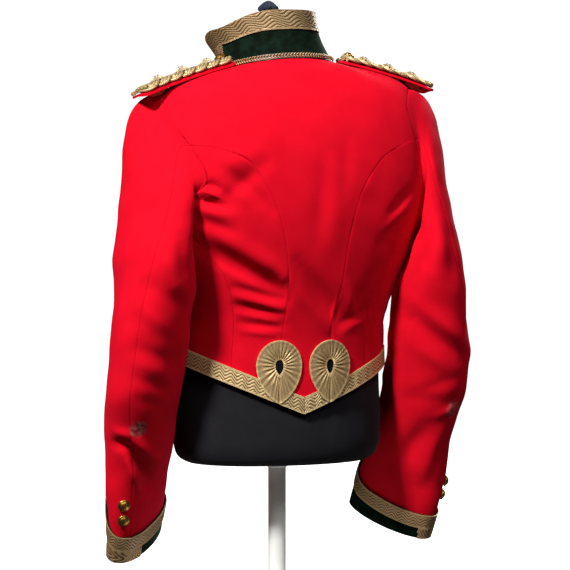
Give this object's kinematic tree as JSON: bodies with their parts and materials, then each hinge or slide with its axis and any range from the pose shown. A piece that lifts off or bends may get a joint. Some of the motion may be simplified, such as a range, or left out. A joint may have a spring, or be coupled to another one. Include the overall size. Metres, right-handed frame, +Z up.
{
  "type": "officer's mess jacket on a limbless dress form and stand",
  "caption": "Short scarlet dress tunic, back pointed at the hem, with green velvet collar and cuffs, gold lace and shoulder cords, hollow sleeves, on a black limbless form with a pole stand.",
  "frame": {"origin": "centre of the stand's flat underside", "axes": "+Z up, the worn front faces -Y, the wearer's left is +X"},
  "size_m": [0.5173, 0.3, 0.8946],
  "materials": {
    "scarlet_doeskin": "milled wool doeskin with a soft sheen",
    "green_velvet": "short cotton pile",
    "gold_lace": "woven metal thread with a zigzag wave, a little tarnished",
    "gold_cord": "plaited metal cord",
    "gilt_brass": "worn gilding",
    "black_jersey": "fine cotton knit",
    "navy_cotton": "gathered cotton",
    "cream_felt": "felted wool",
    "white_enamel": "satin enamel"
  },
  "bodies": {
    "root": {"back": "scarlet_doeskin", "collar": "green_velvet", "collar_braid": "gold_cord", "collar_lace": "gold_lace", "cuff_L": "green_velvet", "cuff_R": "green_velvet", "cuff_button_L1": "gilt_brass", "cuff_button_L2": "gilt_brass", "cuff_button_R1": "gilt_brass", "cuff_button_R2": "gilt_brass", "cuff_lace_L": "gold_lace", "cuff_lace_R": "gold_lace", "dress_form": "black_jersey", "eye_L": "gold_lace", "eye_R": "gold_lace", "form_knot": "navy_cotton", "front_L": "scarlet_doeskin", "front_R": "scarlet_doeskin", "front_lace_L": "gold_lace", "front_lace_R": "gold_lace", "hem_lace_L": "gold_lace", "hem_lace_R": "gold_lace", "shoulder_backing_L": "scarlet_doeskin", "shoulder_backing_R": "scarlet_doeskin", "shoulder_button_L": "gilt_brass", "shoulder_button_R": "gilt_brass", "shoulder_cord_L": "gold_cord", "shoulder_cord_R": "gold_cord", "shoulder_keeper_L": "cream_felt", "shoulder_keeper_R": "cream_felt", "side_body_L": "scarlet_doeskin", "side_body_R": "scarlet_doeskin", "sleeve_top_L": "scarlet_doeskin", "sleeve_top_R": "scarlet_doeskin", "sleeve_under_L": "scarlet_doeskin", "sleeve_under_R": "scarlet_doeskin", "stand_base": "white_enamel", "stand_pole": "white_enamel", "star_L1": "gilt_brass", "star_L2": "gilt_brass", "star_L3": "gilt_brass", "star_R1": "gilt_brass", "star_R2": "gilt_brass", "star_R3": "gilt_brass"}
  },
  "joints": []
}
